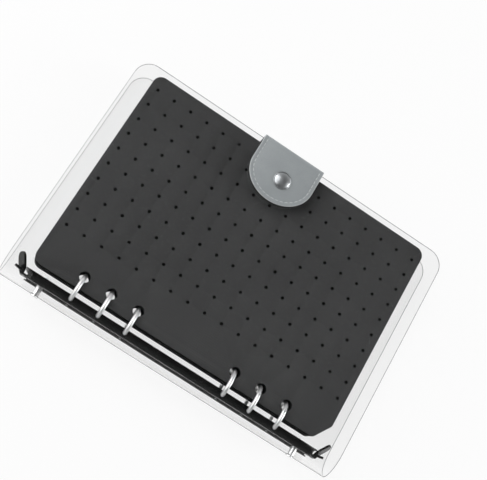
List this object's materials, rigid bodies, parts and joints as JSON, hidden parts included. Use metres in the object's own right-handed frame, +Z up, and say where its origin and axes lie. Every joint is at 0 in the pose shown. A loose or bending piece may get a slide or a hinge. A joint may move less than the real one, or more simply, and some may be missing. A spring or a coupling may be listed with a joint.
{
  "type": "pin storage book",
  "caption": "Clear ring-binder book that holds punched fabric board pages for enamel pins, closed by a leather strap with a snap.",
  "frame": {"origin": "middle of the underside of the closed book", "axes": "+X along the spine, +Y from the spine to the fore-edge, +Z up through the pages"},
  "size_m": [0.235, 0.1646, 0.031],
  "materials": {
    "clear_sheet": "clear flexible sheet, glossy",
    "black_gloss": "glossy black coating on steel",
    "steel": "plain pressed steel",
    "chrome": "bright plating",
    "dark_metal": "dark plating",
    "page_board": "dark grey foam board with a fine matte cloth face",
    "strap_leather": "smooth grey artificial leather",
    "strap_lining": "darker grey lining",
    "thread": "light grey sewing thread"
  },
  "bodies": {
    "back_cover": {"back_cover": "clear_sheet", "strap_base": "strap_leather", "strap_base_lining": "strap_lining", "strap_base_stitches": "thread"},
    "spine": {"spine_sheet": "clear_sheet", "mechanism_casing": "black_gloss", "hinge_plate_upper": "steel", "hinge_plate_lower": "steel", "ring_1_upper": "chrome", "ring_1_lower": "chrome", "ring_2_upper": "chrome", "ring_2_lower": "chrome", "ring_3_upper": "chrome", "ring_3_lower": "chrome", "ring_4_upper": "chrome", "ring_4_lower": "chrome", "ring_5_upper": "chrome", "ring_5_lower": "chrome", "ring_6_upper": "chrome", "ring_6_lower": "chrome", "trigger_left": "black_gloss", "trigger_right": "black_gloss", "spine_rivet_left": "chrome", "spine_rivet_right": "chrome", "rivet_spacer_left": "chrome", "rivet_spacer_right": "chrome"},
    "front_cover": {"front_cover": "clear_sheet", "snap_stud": "chrome", "snap_washer": "dark_metal"},
    "page_1": {"pin_page_1": "page_board"},
    "page_2": {"pin_page_2": "page_board"},
    "page_3": {"pin_page_3": "page_board"},
    "page_4": {"pin_page_4": "page_board"},
    "strap_wall": {"strap_wall": "strap_leather", "strap_wall_lining": "strap_lining"},
    "strap_flap": {"strap_flap": "strap_leather", "strap_flap_lining": "strap_lining", "strap_flap_stitches": "thread", "snap_cap": "chrome", "snap_socket": "chrome"}
  },
  "joints": [
    {"name": "spine_fold", "type": "hinge", "parent": "back_cover", "child": "spine", "pos_m": [0, -0.07686, 0.0039], "axis": [1, 0, 0], "range_deg": [0, 88]},
    {"name": "front_cover_fold", "type": "hinge", "parent": "spine", "child": "front_cover", "pos_m": [0, -0.07686, 0.0217], "axis": [1, 0, 0], "range_deg": [0, 92]},
    {"name": "page_1_turn", "type": "hinge", "parent": "spine", "child": "page_1", "pos_m": [0, -0.06395, 0.01525], "axis": [1, 0, 0], "range_deg": [0, 97]},
    {"name": "page_2_turn", "type": "hinge", "parent": "spine", "child": "page_2", "pos_m": [0, -0.06395, 0.01525], "axis": [1, 0, 0], "range_deg": [0, 97]},
    {"name": "page_3_turn", "type": "hinge", "parent": "spine", "child": "page_3", "pos_m": [0, -0.06395, 0.01035], "axis": [-1, 0, 0], "range_deg": [0, 95]},
    {"name": "page_4_turn", "type": "hinge", "parent": "spine", "child": "page_4", "pos_m": [0, -0.06395, 0.01035], "axis": [-1, 0, 0], "range_deg": [0, 95]},
    {"name": "strap_wall_fold", "type": "hinge", "parent": "back_cover", "child": "strap_wall", "pos_m": [-0.004, 0.0813, 0.0018], "axis": [-1, 0, 0], "range_deg": [0, 90]},
    {"name": "strap_flap_fold", "type": "hinge", "parent": "strap_wall", "child": "strap_flap", "pos_m": [-0.004, 0.0813, 0.02805], "axis": [-1, 0, 0], "range_deg": [0, 90]}
  ],
  "couplings": [
    {"joint": "page_1_turn", "follows": "front_cover_fold", "ratio": 1.045},
    {"joint": "page_2_turn", "follows": "front_cover_fold", "ratio": 1.045},
    {"joint": "page_3_turn", "follows": "spine_fold", "ratio": 1.045},
    {"joint": "page_4_turn", "follows": "spine_fold", "ratio": 1.045}
  ]
}
